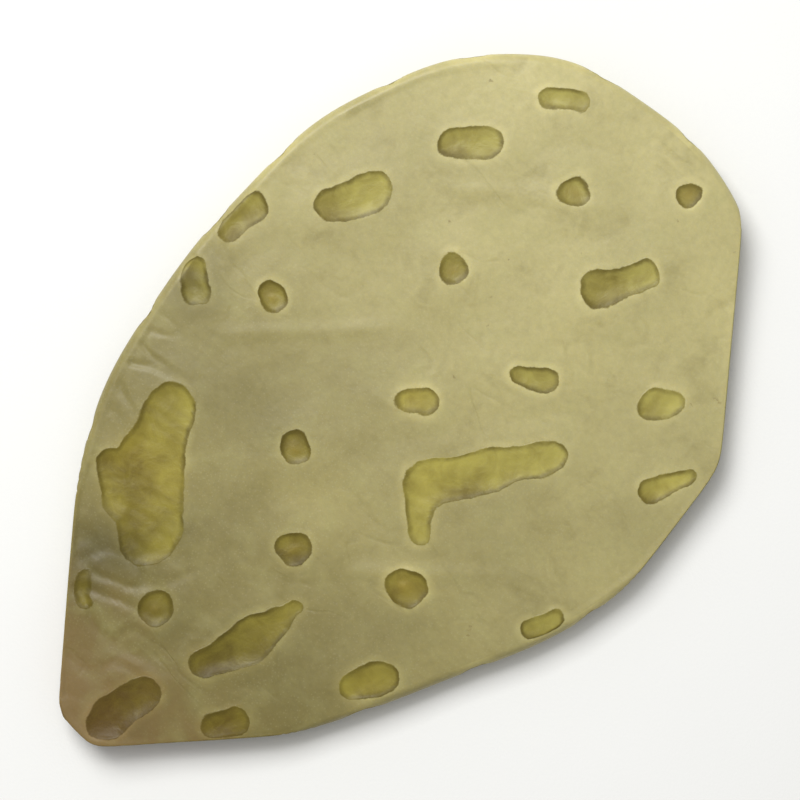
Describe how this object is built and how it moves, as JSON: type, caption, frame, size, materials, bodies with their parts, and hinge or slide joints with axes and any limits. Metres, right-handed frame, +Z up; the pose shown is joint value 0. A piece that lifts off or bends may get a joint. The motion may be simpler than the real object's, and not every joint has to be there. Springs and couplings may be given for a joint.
{
  "type": "prickly pear cactus pad",
  "caption": "Cleaned prickly pear pad: a flat egg-shaped stem segment with its spine cushions cut out and its stem end trimmed square.",
  "frame": {"origin": "middle of the pad's footprint, on the surface that the pad lies on", "axes": "+Y from the cut stem end to the rounded tip, +Z up through the pad's thickness, +X to the right seen from above"},
  "size_m": [0.1204, 0.1859, 0.0101],
  "materials": {
    "pad_skin": "satin"
  },
  "bodies": {
    "root": {"cactus_pad": "pad_skin"}
  },
  "joints": []
}
